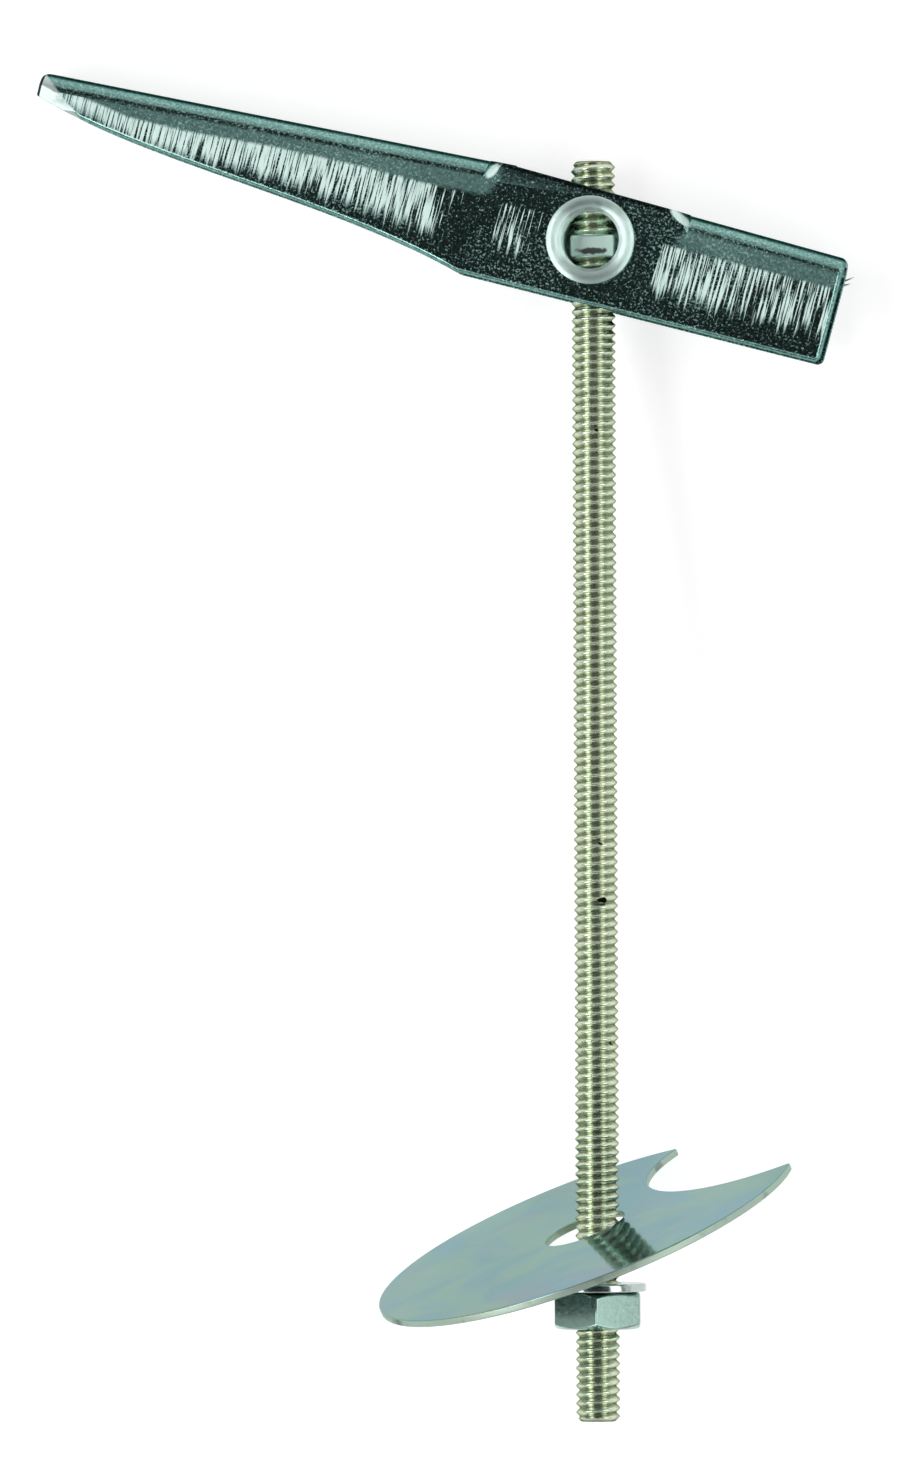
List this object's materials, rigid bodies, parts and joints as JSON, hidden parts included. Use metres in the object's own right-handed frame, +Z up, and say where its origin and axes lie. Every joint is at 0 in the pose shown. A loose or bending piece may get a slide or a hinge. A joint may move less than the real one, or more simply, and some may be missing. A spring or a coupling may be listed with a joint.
{
  "type": "gravity toggle bolt",
  "caption": "Gravity toggle bolt for hollow walls and ceilings: threaded rod with a folded channel wing that tips on a cross trunnion, a notched cover plate, a washer and a hex nut.",
  "frame": {"origin": "on the floor, under the middle of the bolt's bounding box as it lies", "axes": "+Z up from the floor, +Y along the rod towards the wing, +X towards the short arm of the wing"},
  "size_m": [0.1175, 0.1937, 0.0636],
  "materials": {
    "rod_zinc": "warm zinc plate on cut thread",
    "rivet_zinc": "satin zinc plate",
    "wing_zinc": "bright zinc plate with press scuffs",
    "plate_zinc": "bright blue passivated zinc plate",
    "washer_zinc": "bright zinc plate",
    "nut_zinc": "zinc plate"
  },
  "bodies": {
    "rod": {"threaded_rod": "rod_zinc", "trunnion": "rivet_zinc"},
    "wing": {"toggle_wing": "wing_zinc"},
    "washer": {"flat_washer": "washer_zinc"},
    "nut": {"hex_nut": "nut_zinc"},
    "plate": {"cover_plate": "plate_zinc"}
  },
  "joints": [
    {"name": "wing_swing", "type": "hinge", "parent": "rod", "child": "wing", "pos_m": [0.02178, 0.07125, 0.00671], "axis": [-0.0242, -0.1676, -0.9856], "range_deg": [-103, 73.5]},
    {"name": "nut_travel", "type": "slide", "parent": "rod", "child": "washer", "axis": [0, 0.9858, -0.1677], "range_m": [-0.01301, 0.02501]},
    {"name": "nut_turn", "type": "hinge", "parent": "washer", "child": "nut", "pos_m": [0.02178, -0.08341, 0.03302], "axis": [0, 0.9858, -0.1677], "range_deg": [-3685, 7086.6]},
    {"name": "plate_slide", "type": "slide", "parent": "washer", "child": "plate", "axis": [0, 0.9858, -0.1677], "range_m": [-0.004, 0.027]}
  ],
  "couplings": [
    {"joint": "nut_travel", "follows": "nut_turn", "m_per_rad": 0.00020213}
  ]
}
